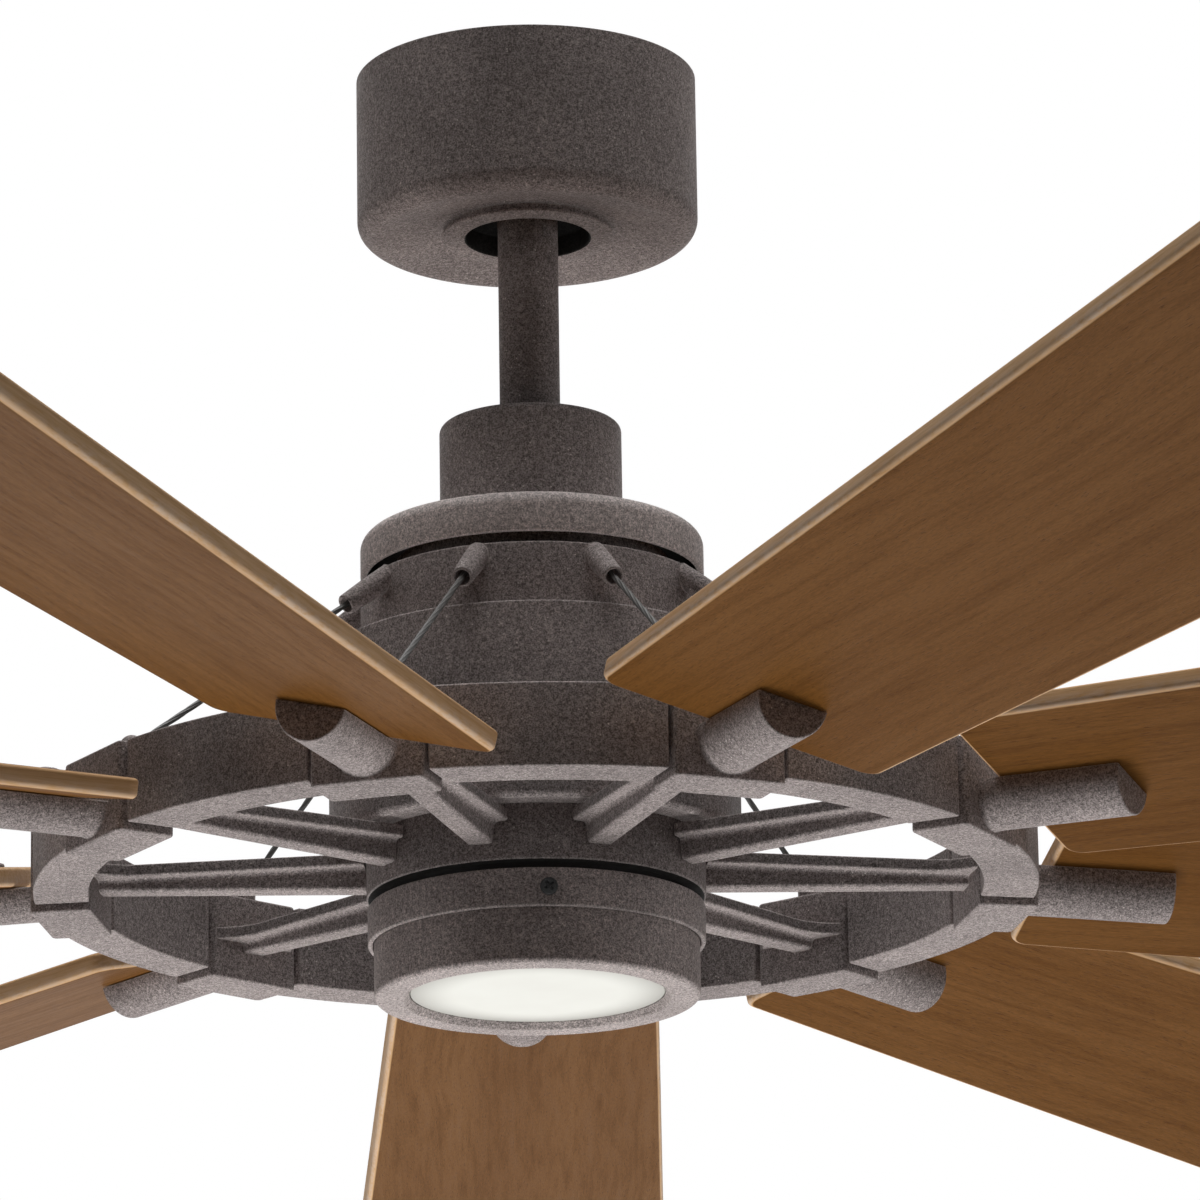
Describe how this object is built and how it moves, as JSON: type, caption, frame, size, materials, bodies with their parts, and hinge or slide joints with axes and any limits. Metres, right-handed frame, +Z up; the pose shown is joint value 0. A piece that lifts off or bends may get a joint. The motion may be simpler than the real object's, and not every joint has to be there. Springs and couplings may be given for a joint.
{
  "type": "ceiling fan",
  "caption": "Ceiling fan with wooden blades on a spoked metal rim braced by stay cables, hung from a downrod under a round canopy, with a round frosted light below.",
  "frame": {"origin": "where the fan's axis meets the ceiling, on the top face of the hanger bracket", "axes": "+Z straight up along the fan's axis; -Y is the side the picture was taken from; +X to its right"},
  "size_m": [1.6459, 1.6289, 0.3999],
  "materials": {
    "zinc_sheet": "weathered grey powder coat, finely speckled",
    "zinc_casting": "weathered grey powder coat, finely speckled",
    "walnut": "satin walnut with worn lighter edges",
    "bright_steel": "zinc plated",
    "heat_sink": "bare sheet",
    "black_iron": "black oxide",
    "copper_winding": "enamelled copper on laminated steel",
    "opal": "frosted"
  },
  "bodies": {
    "mounting": {"hanger_bracket": "bright_steel", "canopy": "zinc_sheet", "canopy_trim_ring": "zinc_sheet"},
    "hanger": {"hanger_ball": "black_iron", "ball_pin": "bright_steel", "downrod": "zinc_sheet", "coupling_yoke": "black_iron", "yoke_pin": "bright_steel", "motor_cap": "zinc_casting", "motor_shaft": "bright_steel", "stator": "copper_winding", "light_pan": "zinc_casting", "light_housing": "zinc_casting", "light_screw": "black_iron", "led_module": "heat_sink", "lens": "opal"},
    "cover": {"coupling_cover": "zinc_sheet"},
    "rotor": {"stay_collar": "zinc_casting", "motor_drum": "zinc_casting", "magnet_ring": "black_iron", "rotor_floor": "zinc_casting", "spoke_hub": "zinc_casting", "upper_bearing": "bright_steel", "lower_bearing": "bright_steel", "blade_arm_1": "zinc_casting", "blade_arm_2": "zinc_casting", "blade_arm_3": "zinc_casting", "blade_arm_4": "zinc_casting", "blade_arm_5": "zinc_casting", "blade_arm_6": "zinc_casting", "blade_arm_7": "zinc_casting", "blade_arm_8": "zinc_casting", "blade_arm_9": "zinc_casting", "blade_1": "walnut", "blade_2": "walnut", "blade_3": "walnut", "blade_4": "walnut", "blade_5": "walnut", "blade_6": "walnut", "blade_7": "walnut", "blade_8": "walnut", "blade_9": "walnut", "stay_cable_1": "bright_steel", "stay_cable_2": "bright_steel", "stay_cable_3": "bright_steel", "stay_cable_4": "bright_steel", "stay_cable_5": "bright_steel", "stay_cable_6": "bright_steel", "stay_cable_7": "bright_steel", "stay_cable_8": "bright_steel", "stay_cable_9": "bright_steel", "rim_segment_1": "zinc_casting", "rim_segment_2": "zinc_casting", "rim_segment_3": "zinc_casting", "rim_segment_4": "zinc_casting", "rim_segment_5": "zinc_casting", "rim_segment_6": "zinc_casting", "rim_segment_7": "zinc_casting", "rim_segment_8": "zinc_casting", "rim_segment_9": "zinc_casting"}
  },
  "joints": [
    {"name": "hanger_tilt", "type": "hinge", "parent": "mounting", "child": "hanger", "pos_m": [0, 0, -0.032], "axis": [1, 0, 0], "range_deg": [-15, 15]},
    {"name": "rotor_spin", "type": "hinge", "parent": "hanger", "child": "rotor", "pos_m": [0, 0, -0.3], "axis": [0, 0, -1], "continuous": true},
    {"name": "cover_slide", "type": "slide", "parent": "hanger", "child": "cover", "axis": [0, 0, 1], "range_m": [0, 0.06]}
  ]
}
